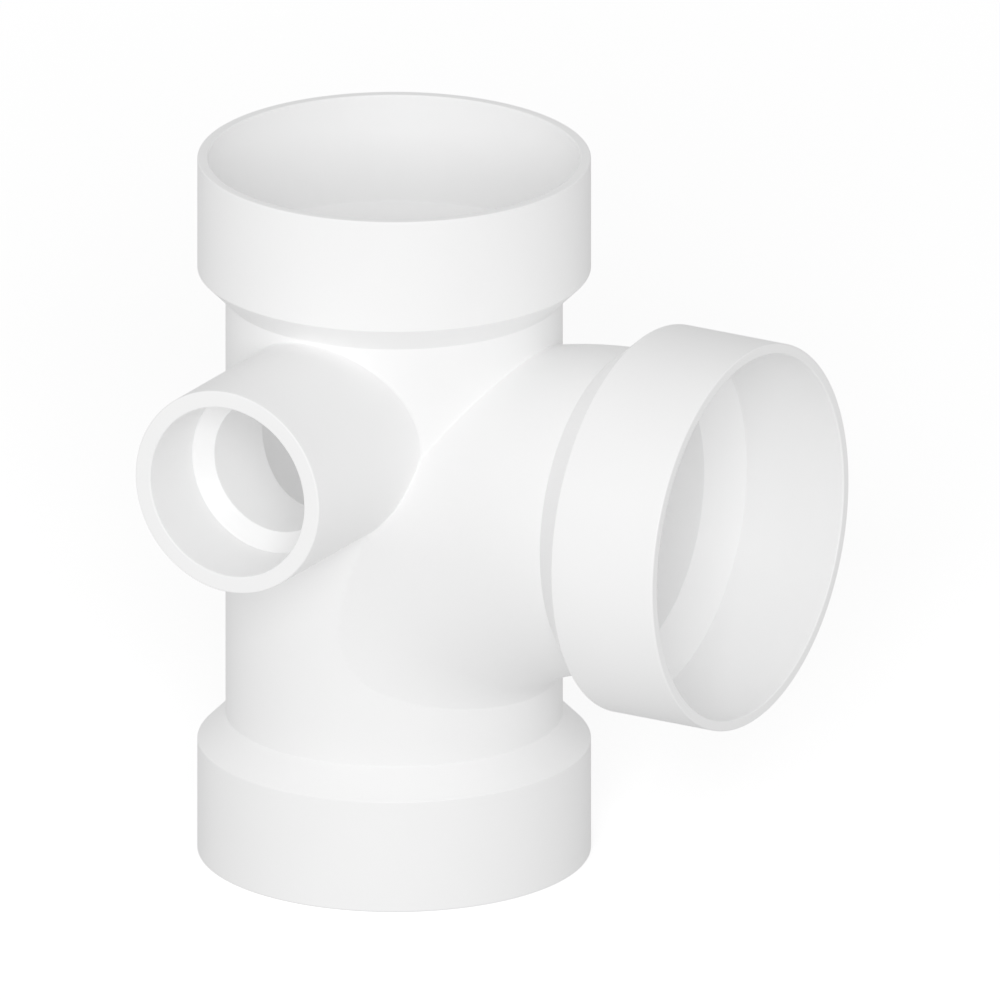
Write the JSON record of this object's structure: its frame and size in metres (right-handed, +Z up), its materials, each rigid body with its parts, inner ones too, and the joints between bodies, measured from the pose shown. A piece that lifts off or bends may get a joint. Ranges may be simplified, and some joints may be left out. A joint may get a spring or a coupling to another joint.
{
  "type": "sanitary tee with side inlet",
  "caption": "White plastic drain fitting: an upright run, a swept branch and a smaller side inlet above it, each ending in a plain pipe socket.",
  "frame": {"origin": "centre of the lower socket's mouth, on the axis of the run", "axes": "+Z up along the run, +X towards the branch's mouth, -Y towards the side inlet's mouth"},
  "size_m": [0.1455, 0.1271, 0.1751],
  "materials": {
    "white_plastic": "rigid white plastic as moulded, satin with a soft gloss"
  },
  "bodies": {
    "root": {"sanitary_tee": "white_plastic"}
  },
  "joints": []
}
